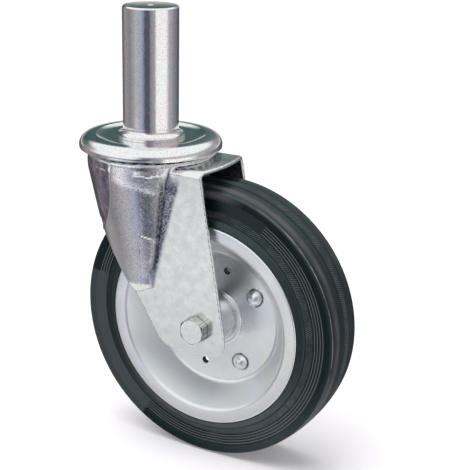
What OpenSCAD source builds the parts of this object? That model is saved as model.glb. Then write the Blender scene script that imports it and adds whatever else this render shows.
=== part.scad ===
// Scaffold castor: solid stem, double ball race swivel head, pressed fork, rubber tyred wheel.
// Millimetres. The origin is on the swivel axis, where the straight part of the stem starts and a
// scaffold tube comes to its stop. +Z runs up the stem, +X points back along the trail, and the axle
// lies along Y. The modules measure heights from the collar's top face, and at_seat() puts them down.

/* [Stem] */
// Diameter of the solid stem
stem_d = 40; // [30:0.5:48]
// Length of the stem above the collar
stem_len = 91; // [50:1:160]
// Chamfer on the stem's top edge
stem_chamfer = 1; // [0.4:0.1:2]
// Diameter of the flared foot that the tube stops on
foot_d = 49; // [46:0.5:60]
// Height of the foot's upright edge above the collar
foot_edge = 0.4; // [0.2:0.1:1.5]
// Diameter of the centre mark in the stem's end
centre_mark_d = 5; // [2:0.5:8]
// Diameter of the kingpin, turned below the stem
kingpin_d = 20; // [16:0.5:24]
// Diameter of the kingpin's threaded end
kingpin_thread_d = 16; // [12:0.5:18]

/* [Collar] */
// Diameter over the collar's rolled rim
collar_d = 103; // [101:0.5:106]
// Thickness of the collar over the balls
collar_t = 3.3; // [2.6:0.1:4]
// Outer radius that the collar's rim is rolled to
rim_roll_r = 6.3; // [5.5:0.1:7]
// How far the edge of the shallow recess round the foot lies inside the collar's edge
recess_inset = 12.15; // [11.9:0.05:20]
// Depth of that recess
recess_depth = 0.8; // [0.3:0.1:1.2]

/* [Ball races] */
// Diameter of the balls between collar and fork
ball_d = 8; // [7:0.5:9]
// How far the circle that those balls run on lies inside the collar's edge
ball_inset = 8.9; // [8:0.1:9.8]
// Diameter of the balls under the crown
lower_ball_d = 6; // [4:0.5:7]
// Diameter of the circle that the lower balls run on
lower_circle_d = 48; // [44:0.5:56]
// Running gap between a ball and its races
ball_gap = 0.3; // [0.15:0.05:0.4]
// Thickness of the lower race under its groove
lower_race_t = 2.5; // [2:0.1:4]

/* [Fork] */
// Thickness of the fork's sheet
sheet_t = 3; // [2:0.1:3.5]
// Width over the outer faces of the legs
fork_w = 61; // [60:0.5:70]
// How far the drawn cup's wall lies inside the collar's edge
cup_inset = 5.7; // [5:0.1:6.4]
// Drop from the cup's boss to the flat rear of the crown
crown_step = 5.3; // [3:0.1:7]
// Outer bend radius between crown and legs
bend_r = 5; // [4:0.1:7]
// Distance from the swivel axis to the middle of the crown's rear edge
crown_reach = 63.4; // [58:0.2:72]
// Radius of the crown's rear edge, seen from above
crown_rear_r = 110; // [80:1:200]
// Radius of the bulge where it ends on the leg
bulge_end_r = 33.6; // [32:0.1:36]
// Depth below the seat at which the bulge ends
bulge_end = 104; // [95:1:110]
// How far back the bulge's centre lies at that depth
bulge_lean = 6.5; // [3:0.1:9]
// Metal left below the axle's centre
leg_foot = 19.4; // [17:0.1:26]
// Metal left behind the axle's centre
leg_back = 21.6; // [17:0.1:26]
// Metal left in front of the axle's centre, level with it
leg_front = 40.8; // [34:0.2:44]
// Run of the leg's front edge for each millimetre of drop
front_slope = 0.64; // [0.55:0.01:0.7]
// Corner radius at the front of a leg's foot
foot_front_r = 16; // [8:0.5:18]
// Corner radius at the back of a leg's foot
foot_back_r = 11; // [6:0.5:14]

/* [Wheel] */
// Distance the axle trails behind the swivel axis
trail = 57.7; // [54:0.1:66]
// Drop from the collar's top face to the top of the tyre
tyre_gap = 27.4; // [26.5:0.1:36]
// Diameter of the tyre over the middle of its tread
wheel_d = 203; // [198:1:206]
// Width of the tyre across its tread
tread_w = 40; // [36:0.5:46]
// How much the tread falls from its middle to its shoulders
tread_crown = 1.6; // [0.5:0.1:3]
// Radius of the tyre's shoulders
shoulder_r = 4; // [2:0.1:5]
// How far each sidewall draws in, from the tread's edge to its waist
waist_depth = 2.2; // [0.5:0.1:3]
// Diameter of the groove between the sidewall's plain and knurled bands
band_d = 160.6; // [157:0.2:164]
// Diameter of the innermost of the fine ribs on a sidewall
rib_d = 173.8; // [170:0.2:177]
// Number of fine ribs on a sidewall
rib_count = 4; // [2:1:4]
// Distance from one fine rib to the next
rib_pitch = 2.1; // [1.6:0.1:2.3]
// Height of the fine ribs
rib_h = 0.5; // [0.3:0.1:0.7]
// Height of the plain raised panels on each sidewall
panel_t = 0.9; // [0.8:0.1:1.4]
// Width over the lips of the two rim discs
rim_w = 47; // [45:0.5:49]
// Diameter over the rim's flat lips
rim_d = 149.8; // [142:0.2:154]
// Width of the flat lip of a rim disc
lip_w = 9.9; // [7:0.1:13]
// Setback of the tyre's side from the lip's face
side_setback = 0.6; // [0.2:0.1:1.5]
// Diameter of the flat middle of a rim disc
flat_d = 101.8; // [98:0.2:108]
// Thickness of a rim disc
disc_t = 2.4; // [1.6:0.1:3]
// Height of the neck that a disc turns out round the hub
neck_h = 3; // [2:0.1:6]

/* [Rivets] */
// Number of rivets through the two discs
rivet_count = 4; // [3:1:8]
// Diameter of the circle of rivets
rivet_circle_d = 75.4; // [68:0.2:80]
// Diameter of a rivet's shank
rivet_d = 6; // [4:0.5:7]
// Diameter of a rivet's round head
rivet_head_d = 12; // [10:0.5:13]
// Height of a rivet's round head
rivet_head_h = 3.6; // [2:0.1:5]
// Diameter of the two small holes through the discs
vent_d = 5; // [3:0.5:7]

/* [Hub] */
// Outer diameter of the hub tube
hub_d = 35; // [33:0.5:38]
// Wall of the hub tube
hub_wall = 3; // [2.5:0.1:3.4]
// Gap from each end of the hub tube to the leg beside it
hub_side_gap = 1.6; // [1.4:0.1:3]
// Thickness of the thrust washers beside the hub
thrust_t = 1.1; // [0.8:0.1:1.2]
// Outer diameter of the sleeve that the rollers run on
sleeve_d = 20; // [17:0.5:21]
// Number of rollers
roller_count = 12; // [8:1:12]
// Length of a roller
roller_len = 38; // [20:1:40]
// Running gap between a roller and the tube or sleeve
roller_gap = 0.15; // [0.1:0.05:0.3]
// Thickness of the caps pressed into the hub tube
cap_t = 1.6; // [1:0.1:2]

/* [Bolts] */
// Diameter of the axle bolt
axle_d = 12; // [10:0.5:13]
// Width across the flats of the axle bolt's head and nut
axle_af = 18; // [17:0.5:21]
// Height of the axle bolt's head
axle_head_h = 7.5; // [6:0.1:9]
// Height of the axle nut
axle_nut_h = 10; // [8:0.2:12]
// Thickness of the axle washer
axle_washer_t = 2.5; // [1.5:0.1:3]
// Outer diameter of the axle washer
axle_washer_d = 24; // [23:0.5:30]
// Width across the flats of the kingpin nut
kingpin_af = 24; // [22:0.5:27]
// Height of the kingpin nut
kingpin_nut_h = 8; // [6:0.2:9]
// Thickness of the kingpin washer
kingpin_washer_t = 2.5; // [1.5:0.1:3]
// Outer diameter of the kingpin washer
kingpin_washer_d = 30; // [28:0.5:34]
// Thread left standing past a nut
thread_end = 2.2; // [1:0.1:4]

/* [Fits] */
// Radial gap between pieces that are pressed or clamped together
fit_gap = 0.05; // [0.02:0.01:0.08]
// Radial gap of a bolt or kingpin in a drilled hole
hole_gap = 0.25; // [0.1:0.05:0.5]

/* [Hidden] */

// Fineness of turned surfaces, and of polygons that stand for small arcs
$fn = 96;
arc_steps = 5;
over = 1; // how far a cutter runs past the face that it cuts
ball_spacing = 0.3; // least gap between one ball and the next
hex_point = 2 / sqrt(3); // across corners for each unit across flats

// Swivel head, from the collar's top face downwards
seat_drop = (foot_d - stem_d) / 2 + foot_edge; // from the stem's straight part down to the collar
groove_r = ball_d / 2 + ball_gap;
ball_r0 = collar_d / 2 - ball_inset;
recess_r = collar_d / 2 - recess_inset;
ball_z = -collar_t - groove_r;
roll_r0 = collar_d / 2 - rim_roll_r;
collar_low = ball_z - 0.35 * ball_d / 2; // lower edge of the collar's rolled rim
lip_z = ball_z - 0.7 * groove_r; // corner of the cup's shoulder, outside its ball track
boss_z = ball_z - 1.2;
crown_z = boss_z - crown_step;
under_z = boss_z - sheet_t;
lower_groove_r = lower_ball_d / 2 + ball_gap;
lower_r0 = lower_circle_d / 2;
lower_z = under_z - 0.7 * lower_ball_d / 2;
lower_race_top = lower_z - 1;
lower_race_low = lower_z - lower_groove_r - lower_race_t;
race_bore_r = kingpin_thread_d / 2 + fit_gap;
race_edge_r = lower_r0 + lower_groove_r + 2.5;
shoulder_z = lower_race_low + 3; // where the kingpin steps down to its thread
nut_top = lower_race_low - kingpin_washer_t;
nut_low = nut_top - kingpin_nut_h;

// Fork
cup_r = collar_d / 2 - cup_inset;
axle_drop = tyre_gap + wheel_d / 2;
leg_y = fork_w / 2;
leg_in = leg_y - sheet_t;
foot_z = -axle_drop - leg_foot;
corner_x = crown_reach - (crown_rear_r - sqrt(pow(crown_rear_r, 2) - pow(leg_y, 2)));
lean = atan(bulge_lean / bulge_end);
bulge_taper = (cup_r + 0.2 - bulge_end_r) / (bulge_end + crown_z - 11);
runout = 9; // length over which the bulge sinks into the leg
runout_r = leg_y - sheet_t / 2;

// Wheel, measured from its middle plane
tyre_r = wheel_d / 2;
tread_half = tread_w / 2;
rim_r = rim_d / 2;
lip_r = rim_r - lip_w;
lip_y = rim_w / 2;
seat_r = rim_r + 0.4; // inner edge of the sidewall, clear of the lip
side_y = lip_y - side_setback;
waist_y = tread_half - waist_depth;
rib_r0 = rib_d / 2;
rib_end = rib_r0 + (rib_count - 1) * rib_pitch;
flat_r = flat_d / 2;
cone_run = lip_r - flat_r;
cone_rise = lip_y - disc_t;
cone_len = norm([cone_run, cone_rise]);
cone_shift = disc_t * (cone_len - cone_run) / cone_rise; // from a corner's outer to its inner face
wedge_r = flat_r + 5.5; // innermost rubber, clamped between the discs
hub_r = hub_d / 2;
bore_r = hub_r - hub_wall;
sleeve_r = sleeve_d / 2;
hub_half = leg_in - hub_side_gap;
roller_d = bore_r - sleeve_r - 2 * roller_gap;
roller_r0 = (bore_r + sleeve_r) / 2;
cage_half = hub_half - cap_t - 0.3;
rivet_angle = 33.5;
vent_angle = rivet_angle + 43.5;
left_panel = 165.5; // where each plain panel starts, and the angle it spans
left_span = 72.5;
right_panel = 60;
right_span = 60;

zinc = [0.80, 0.82, 0.84];
steel = [0.62, 0.63, 0.65];
rubber = [0.09, 0.11, 0.11];

// A ring of points as the outline of a polygon, its corners rounded. Each point is [x, y, radius].
function corner(p, a, b, r) =
    let (u = [a.x - p.x, a.y - p.y] / norm([a.x - p.x, a.y - p.y]),
        v = [b.x - p.x, b.y - p.y] / norm([b.x - p.x, b.y - p.y]),
        half = acos(u * v) / 2,
        centre = [p.x, p.y] + (u + v) / norm(u + v) * r / sin(half),
        from = [p.x, p.y] + u * r / tan(half) - centre,
        turn = (u.x * v.y - u.y * v.x > 0 ? -1 : 1) * (180 - 2 * half))
    [for (i = [0:arc_steps])
        let (t = turn * i / arc_steps)
        centre + [from.x * cos(t) - from.y * sin(t), from.x * sin(t) + from.y * cos(t)]];

function rounded(pts) =
    [for (i = [0:len(pts) - 1])
        let (p = pts[i], a = pts[(i + len(pts) - 1) % len(pts)], b = pts[(i + 1) % len(pts)])
        each (p[2] > 0 ? corner(p, a, b, p[2]) : [[p.x, p.y]])];

module turned(pts) {
    rotate_extrude() polygon(rounded(pts));
}

module at_seat() {
    translate([0, 0, -seat_drop]) children();
}

// Things on the axle: local Z becomes +Y, and local X stays level
module on_axle() {
    translate([trail, 0, -axle_drop]) rotate([-90, 0, 0]) children();
}

module hexagon(af, h) {
    rotate(90) cylinder(d = af * hex_point, h = h, $fn = 6);
}

// A hexagon with its far corners turned off
module hex_head(af, h) {
    intersection() {
        hexagon(af, h);
        cylinder(r1 = af / 2 + 1.8 * h, r2 = af / 2 - 0.1, h = h);
    }
}

module hex_nut(af, h, bore_r) {
    difference() {
        intersection() {
            hexagon(af, h);
            cylinder(r1 = af / 2 + 1.8 * h, r2 = af / 2 - 0.1, h = h);
            cylinder(r1 = af / 2 - 0.1, r2 = af / 2 + 1.8 * h, h = h);
        }
        translate([0, 0, -over]) cylinder(r = bore_r, h = h + 2 * over);
    }
}

module ring(outer_r, inner_r, h) {
    difference() {
        cylinder(r = outer_r, h = h);
        translate([0, 0, -over]) cylinder(r = inner_r, h = h + 2 * over);
    }
}

module groove(r0, z, r) {
    rotate_extrude() translate([r0, z]) circle(r = r, $fn = 48);
}

// Stem, foot and kingpin, turned from one bar
module stem() {
    color(zinc) at_seat() difference() {
        rotate_extrude() difference() {
            polygon([[0, nut_low - thread_end], [kingpin_thread_d / 2 - 1, nut_low - thread_end],
                [kingpin_thread_d / 2, nut_low - thread_end + 1], [kingpin_thread_d / 2, shoulder_z],
                [kingpin_d / 2, shoulder_z], [kingpin_d / 2, -recess_depth],
                [foot_d / 2, -recess_depth], [foot_d / 2, foot_edge], [stem_d / 2, seat_drop],
                [stem_d / 2, stem_len - stem_chamfer], [stem_d / 2 - stem_chamfer, stem_len],
                [0, stem_len]]);
            translate([foot_d / 2, seat_drop]) circle(r = seat_drop - foot_edge, $fn = 64);
        }
        translate([0, 0, stem_len - centre_mark_d / 2])
            cylinder(r1 = 0, r2 = centre_mark_d / 2 + over, h = centre_mark_d / 2 + over);
    }
}

// Pressed cap over the upper balls, its rim rolled down round them
module collar() {
    color(zinc) at_seat() difference() {
        union() {
            translate([0, 0, -rim_roll_r]) cylinder(r = roll_r0, h = rim_roll_r);
            intersection() {
                groove(roll_r0, -rim_roll_r, rim_roll_r);
                translate([0, 0, collar_low]) cylinder(r = collar_d / 2 + over, h = -collar_low + over);
            }
        }
        groove(ball_r0, ball_z, groove_r);
        translate([0, 0, collar_low - over])
            cylinder(r = ball_r0 + groove_r - 0.4, h = ball_z - collar_low + over);
        translate([0, 0, ball_z - over]) cylinder(r = ball_r0, h = -collar_t - ball_z + over);
        translate([0, 0, -recess_depth])
            cylinder(r1 = recess_r - recess_depth, r2 = recess_r + over, h = recess_depth + over);
        translate([0, 0, -collar_t - over]) cylinder(r = kingpin_d / 2 + fit_gap, h = collar_t + 2 * over);
    }
}

module ball_ring(r0, z, d, count) {
    for (i = [0:count - 1])
        rotate(360 * i / count) translate([r0, 0, z]) sphere(d = d, $fn = 24);
}

module upper_balls() {
    count = floor(2 * PI * ball_r0 / (ball_d + ball_spacing));
    color(steel) at_seat() ball_ring(ball_r0, ball_z, ball_d, count);
}

module lower_balls() {
    count = floor(PI * lower_circle_d / (lower_ball_d + ball_spacing));
    color(steel) at_seat() ball_ring(lower_r0, lower_z, lower_ball_d, count);
}

// The sheet's outer form, or with an inset of one thickness its inner form
module fork_form(inset) {
    top = crown_z - inset;
    end_r = bulge_end_r - inset;
    // Legs and crown: a channel with round bends, from the swivel axis back
    rotate([90, 0, 90]) linear_extrude(crown_reach + leg_back)
        polygon(rounded([[-leg_y + inset, foot_z - over, 0], [leg_y - inset, foot_z - over, 0],
            [leg_y - inset, top, bend_r - inset], [-leg_y + inset, top, bend_r - inset]]));
    // Drawn cup, tapering down the legs as a leaning cone
    intersection() {
        fork_cup(inset);
        translate([bulge_lean, 0, -bulge_end]) rotate([0, -lean, 0]) {
            cylinder(r1 = end_r, r2 = end_r + bulge_taper * bulge_end, h = bulge_end);
            translate([0, 0, -runout]) cylinder(r1 = runout_r - inset, r2 = end_r, h = runout);
        }
    }
}

// Upright part of the cup, with the ball track in its shoulder
module fork_cup(inset) {
    top = boss_z - inset;
    track = groove_r + inset;
    low = -bulge_end - runout - over;
    if (inset == 0)
        difference() {
            turned([[0, low, 0], [cup_r, low, 0], [cup_r, lip_z, 2], [ball_r0 - 0.5, boss_z, 0],
                [0, boss_z, 0]]);
            groove(ball_r0, ball_z, groove_r);
        }
    else
        difference() {
            translate([0, 0, low]) cylinder(r = cup_r - inset, h = top - low);
            groove(ball_r0, ball_z, track);
        }
}

// Side view of the fork, which cuts the front, foot and back of the legs
module fork_side() {
    drop = -axle_drop;
    front = trail - leg_front;
    back = trail + leg_back;
    high = boss_z + over;
    rotate([90, 0, 0]) translate([0, 0, -cup_r - over]) linear_extrude(2 * (cup_r + over))
        polygon(rounded([[front - front_slope * (high - drop), high, 0],
            [front + front_slope * leg_foot, foot_z, foot_front_r], [back + 1.5, foot_z, foot_back_r],
            [back, drop, 0], [corner_x, crown_z - 2, 0], [cup_r, high, 0]]));
}

// One pressed sheet: crown with the drawn cup, and two legs
module fork() {
    color(zinc) at_seat() difference() {
        intersection() {
            difference() {
                fork_form(0);
                fork_form(sheet_t);
            }
            union() {
                fork_side();
                translate([crown_reach - crown_rear_r, 0, crown_z - sheet_t - 1])
                    cylinder(r = crown_rear_r, h = sheet_t + 1 + over);
            }
        }
        translate([0, 0, under_z - over])
            cylinder(r = kingpin_d / 2 + 4 * hole_gap, h = sheet_t + 2 * over);
        groove(lower_r0, lower_z, lower_groove_r);
        on_axle() translate([0, 0, -leg_y - over])
            cylinder(r = axle_d / 2 + hole_gap, h = fork_w + 2 * over);
    }
}

module lower_race() {
    color(steel) at_seat() difference() {
        turned([[race_bore_r, lower_race_low, 0], [race_edge_r, lower_race_low, 1],
            [race_edge_r, lower_race_top, 0.6], [lower_r0 - lower_groove_r - 1, lower_race_top, 0.6],
            [lower_r0 - lower_groove_r - 3, shoulder_z, 0], [race_bore_r, shoulder_z, 0]]);
        groove(lower_r0, lower_z, lower_groove_r);
    }
}

module kingpin_washer() {
    color(zinc) at_seat() translate([0, 0, nut_top])
        ring(kingpin_washer_d / 2, kingpin_thread_d / 2 + hole_gap, kingpin_washer_t);
}

module kingpin_nut() {
    color(zinc) at_seat() translate([0, 0, nut_low])
        hex_nut(kingpin_af, kingpin_nut_h, kingpin_thread_d / 2 + fit_gap);
}

// Axle bolt, its head against the near leg
module axle_bolt() {
    grip = fork_w + axle_washer_t + axle_nut_h + thread_end;
    color(zinc) at_seat() on_axle() {
        translate([0, 0, -leg_y]) mirror([0, 0, 1]) hex_head(axle_af, axle_head_h);
        translate([0, 0, -leg_y]) cylinder(r = axle_d / 2, h = grip - 1);
        translate([0, 0, grip - leg_y - 1]) cylinder(r1 = axle_d / 2, r2 = axle_d / 2 - 1, h = 1);
    }
}

module axle_washer() {
    color(zinc) at_seat() on_axle() translate([0, 0, leg_y])
        ring(axle_washer_d / 2, axle_d / 2 + hole_gap, axle_washer_t);
}

module axle_nut() {
    color(zinc) at_seat() on_axle() translate([0, 0, leg_y + axle_washer_t])
        hex_nut(axle_af, axle_nut_h, axle_d / 2 + fit_gap);
}

// Hardened sleeve clamped between the legs, the inner race of the roller bearing
module axle_sleeve() {
    color(steel) at_seat() on_axle() translate([0, 0, -leg_in])
        ring(sleeve_r, axle_d / 2 + fit_gap, 2 * leg_in);
}

module thrust_washer() {
    ring(hub_r, sleeve_r + hole_gap, thrust_t);
}

module near_thrust_washer() {
    color("white") at_seat() on_axle() translate([0, 0, -leg_in + fit_gap]) thrust_washer();
}

module far_thrust_washer() {
    color("white") at_seat() on_axle() translate([0, 0, leg_in - fit_gap - thrust_t]) thrust_washer();
}

module hub_tube() {
    color(zinc) at_seat() on_axle() translate([0, 0, -hub_half]) difference() {
        turned([[bore_r, 0, 0], [hub_r, 0, 0.8], [hub_r, 2 * hub_half, 0.8], [bore_r, 2 * hub_half, 0]]);
    }
}

module hub_cap() {
    ring(bore_r - fit_gap, sleeve_r + hole_gap, cap_t);
}

module near_hub_cap() {
    color(steel) at_seat() on_axle() translate([0, 0, -hub_half]) hub_cap();
}

module far_hub_cap() {
    color(steel) at_seat() on_axle() translate([0, 0, hub_half - cap_t]) hub_cap();
}

// Moulded cage with a pocket for each roller
module roller_cage() {
    wall = 0.9;
    color("ivory") at_seat() on_axle() difference() {
        translate([0, 0, -cage_half]) ring(bore_r - wall, sleeve_r + wall, 2 * cage_half);
        for (i = [0:roller_count - 1])
            rotate(360 * i / roller_count) translate([roller_r0, 0, 0])
                cube([2 * roller_d, roller_d + 2 * roller_gap, roller_len + 4 * roller_gap], center = true);
    }
}

module hub_rollers() {
    color(steel) at_seat() on_axle() for (i = [0:roller_count - 1])
        rotate(360 * i / roller_count) translate([roller_r0, 0, -roller_len / 2])
            cylinder(d = roller_d, h = roller_len, $fn = 32);
}

module on_circle(d, first, count) {
    for (i = [0:count - 1])
        rotate(-first - 360 * i / count) translate([d / 2, 0, 0]) children();
}

// One disc, its flat back on the middle plane and its lip standing out along +Z
module rim_disc() {
    neck_r = hub_r + fit_gap + disc_t;
    difference() {
        turned([[hub_r + fit_gap, 0, 0], [flat_r + cone_shift, 0, 6],
            [lip_r + cone_shift, lip_y - disc_t, 1.5], [rim_r, lip_y - disc_t, 0],
            [rim_r, lip_y, 0.9], [lip_r, lip_y, 3.5], [flat_r, disc_t, 4],
            [neck_r, disc_t, 2.2], [neck_r, disc_t + neck_h, 0.9], [hub_r + fit_gap, disc_t + neck_h, 0]]);
        translate([0, 0, -over]) {
            on_circle(rivet_circle_d, rivet_angle, rivet_count)
                cylinder(r = rivet_d / 2 + fit_gap, h = disc_t + 2 * over);
            on_circle(rivet_circle_d, vent_angle, 2) cylinder(d = vent_d, h = disc_t + 2 * over);
        }
    }
}

module near_rim_disc() {
    color(zinc) at_seat() on_axle() mirror([0, 0, 1]) rim_disc();
}

module far_rim_disc() {
    color(zinc) at_seat() on_axle() rim_disc();
}

module rivet_head() {
    r = (pow(rivet_head_d / 2, 2) + pow(rivet_head_h, 2)) / (2 * rivet_head_h);
    intersection() {
        translate([0, 0, rivet_head_h - r]) sphere(r = r, $fn = 48);
        cylinder(d = rivet_head_d, h = rivet_head_h + over);
    }
}

module rim_rivets() {
    color(zinc) at_seat() on_axle() on_circle(rivet_circle_d, rivet_angle, rivet_count) {
        translate([0, 0, -disc_t]) cylinder(d = rivet_d, h = 2 * disc_t);
        translate([0, 0, disc_t]) rivet_head();
        mirror([0, 0, 1]) translate([0, 0, disc_t]) rivet_head();
    }
}

// Height of a sidewall above the middle plane, between its inner edge and its waist
function side_at(r) = side_y - (side_y - waist_y) * (r - seat_r) / (rib_r0 - seat_r);

// Half of the tyre's section, from its middle plane to one side
module tyre_half() {
    back = lip_y - disc_t - 0.1;
    cone_x = flat_r + cone_shift + 0.15;
    band_r = band_d / 2;
    knurl_end = rib_r0 - 1.2;
    edge_r = tyre_r - tread_crown;
    ribs = [for (i = [0:rib_count - 1]) let (r = rib_r0 + i * rib_pitch)
        each [[r - 0.6, waist_y, 0], [r - 0.25, waist_y + rib_h, 0], [r + 0.25, waist_y + rib_h, 0],
            [r + 0.6, waist_y, 0]]];
    turned([[wedge_r, 0, 0], [wedge_r, (wedge_r - cone_x) * cone_rise / cone_run, 0],
        [cone_x + back * cone_run / cone_rise, back, 0], [seat_r, back, 0], [seat_r, side_y, 0.3],
        [band_r - 0.5, side_at(band_r - 0.5), 0], [band_r - 0.1, side_at(band_r) - 0.6, 0],
        [band_r + 0.6, side_at(band_r + 0.6), 0], [knurl_end, side_at(knurl_end), 0],
        each ribs,
        [rib_end + 1.2, waist_y, 0], [edge_r - shoulder_r - 0.4, tread_half - 0.4, 3],
        [edge_r, tread_half, shoulder_r], [tyre_r - 0.25 * tread_crown, tread_half / 2, 0], [tyre_r, 0, 0]]);
}

// Plain raised fields on a sidewall, across the ribs
module tyre_panel(first, span) {
    rotate(-first - span) rotate_extrude(angle = span)
        translate([rib_r0 - 0.9, waist_y - over])
            square([rib_end - rib_r0 + 1.8, over + panel_t]);
}

module tyre() {
    color(rubber) at_seat() on_axle() {
        tyre_half();
        mirror([0, 0, 1]) tyre_half();
        for (side = [0, 1])
            mirror([0, 0, side]) {
                tyre_panel(left_panel, left_span);
                tyre_panel(right_panel, right_span);
            }
    }
}

stem();
collar();
upper_balls();
fork();
lower_balls();
lower_race();
kingpin_washer();
kingpin_nut();
axle_bolt();
axle_washer();
axle_nut();
axle_sleeve();
near_thrust_washer();
far_thrust_washer();
hub_tube();
near_hub_cap();
far_hub_cap();
roller_cage();
hub_rollers();
near_rim_disc();
far_rim_disc();
rim_rivets();
tyre();
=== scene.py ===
import math
import bpy
import bmesh
from mathutils import Matrix, Vector


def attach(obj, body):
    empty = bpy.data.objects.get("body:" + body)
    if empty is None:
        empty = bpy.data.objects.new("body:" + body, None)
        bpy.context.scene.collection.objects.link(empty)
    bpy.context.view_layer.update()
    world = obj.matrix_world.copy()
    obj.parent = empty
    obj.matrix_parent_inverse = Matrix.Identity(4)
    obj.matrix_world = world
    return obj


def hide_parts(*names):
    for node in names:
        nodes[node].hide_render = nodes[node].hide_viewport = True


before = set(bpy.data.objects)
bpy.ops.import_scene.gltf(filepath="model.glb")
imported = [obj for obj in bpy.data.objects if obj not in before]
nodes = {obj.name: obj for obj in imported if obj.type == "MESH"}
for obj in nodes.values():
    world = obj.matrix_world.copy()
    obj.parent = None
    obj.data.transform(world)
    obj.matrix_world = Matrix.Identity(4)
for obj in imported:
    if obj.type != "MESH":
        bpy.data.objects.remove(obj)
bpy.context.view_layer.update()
mm = 0.001
print("frame loaded")

# Places shared by the pieces, in millimetres: heights run from the start of the stem's straight part
collarTop = -4.9
axleX = 57.7
axleZ = -133.8
legFace = 30.5           # outer face of a leg, from the middle plane
sheet = 3.0
flatFacing = 0.99995     # a face whose normal lies this close to an axis counts as flat


def onAxle(r, y):
    return Vector(((axleX + r) * mm, y * mm, axleZ * mm))


def onStem(r, z):
    return Vector((r * mm, 0, (collarTop + z) * mm))


def smoothStep(edge0, edge1, x):
    t = min(1.0, max(0.0, (x - edge0) / (edge1 - edge0)))
    return t * t * (3 - 2 * t)


def rounded(points, closed=True, arcSteps=6):
    # a section's corners, each (x, y, radius), turned into arcs
    outline = []
    count = len(points)
    for i, (x, y, radius) in enumerate(points):
        ends = not closed and i in (0, count - 1)
        if radius <= 0 or ends:
            outline.append((x, y))
            continue
        p = Vector((x, y))
        a = Vector(points[i - 1][:2]) - p
        b = Vector(points[(i + 1) % count][:2]) - p
        a.normalize()
        b.normalize()
        half = a.angle(b) / 2
        centre = p + (a + b).normalized() * radius / math.sin(half)
        start = p + a * radius / math.tan(half) - centre
        turn = (math.pi - 2 * half) * (-1 if a.cross(b) > 0 else 1)
        for step in range(arcSteps + 1):
            angle = turn * step / arcSteps
            spot = centre + Matrix.Rotation(angle, 2) @ start
            outline.append((spot.x, spot.y))
    return outline


def arc(x, y, radius, start, end, steps):
    # points along an arc round (x, y), with its angles in degrees
    angles = [math.radians(start + (end - start) * i / steps) for i in range(steps + 1)]
    return [(x + radius * math.cos(angle), y + radius * math.sin(angle)) for angle in angles]


def ringSection(bore, r, low, high, radii):
    # the section of a tube or washer, with a radius for each corner
    corners = ((bore, low), (r, low), (r, high), (bore, high))
    return rounded([(*corner, radius) for corner, radius in zip(corners, radii)])


def ringPlaces(circle, first, count):
    # places spread evenly on a circle round the axle, from a first bearing in degrees
    angles = [math.radians(first + 360 / count * k) for k in range(count)]
    return [Vector((axleX + circle * math.cos(angle), 0, axleZ + circle * math.sin(angle))) * mm
            for angle in angles]


def spun(outline, place, centre, axis, steps, closed=True):
    # a section turned through a full circle
    bm = bmesh.new()
    verts = [bm.verts.new(place(a, b)) for a, b in outline]
    edges = [bm.edges.new(pair) for pair in zip(verts, verts[1:])]
    if closed:
        edges.append(bm.edges.new((verts[-1], verts[0])))
    bmesh.ops.spin(bm, geom=verts + edges, cent=centre, axis=axis, dvec=(0, 0, 0),
                   angle=2 * math.pi, steps=steps, use_merge=True, use_duplicate=False)
    bmesh.ops.remove_doubles(bm, verts=bm.verts, dist=1e-6)
    return bm


def spunOnStem(outline, steps=128, closed=True):
    return spun(outline, onStem, (0, 0, 0), (0, 0, 1), steps, closed)


def spunOnAxle(outline, steps=128, closed=True):
    return spun(outline, onAxle, (axleX * mm, 0, axleZ * mm), (0, 1, 0), steps, closed)


def placed(name, bm):
    # an object made of this mesh, in the scene
    mesh = bpy.data.meshes.new(name)
    bm.to_mesh(mesh)
    bm.free()
    piece = bpy.data.objects.new(name, mesh)
    bpy.context.scene.collection.objects.link(piece)
    return piece


def finishPiece(name, bm, material, body, replaced=(), sharp=32, recalc=True, flatAxis=None):
    if recalc:
        bmesh.ops.recalc_face_normals(bm, faces=bm.faces)
    bm.normal_update()
    for face in bm.faces:
        face.smooth = flatAxis is None or abs(face.normal.dot(flatAxis)) < flatFacing
    for edge in bm.edges:
        edge.smooth = len(edge.link_faces) == 2 and edge.calc_face_angle() < math.radians(sharp)
    piece = placed(name, bm)
    piece.data.materials.append(material)
    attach(piece, body)
    if replaced:
        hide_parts(*replaced)
    return piece


def bakedMesh(piece):
    # a piece's mesh with its modifiers applied
    graph = bpy.context.evaluated_depsgraph_get()
    return bpy.data.meshes.new_from_object(piece.evaluated_get(graph))


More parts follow.
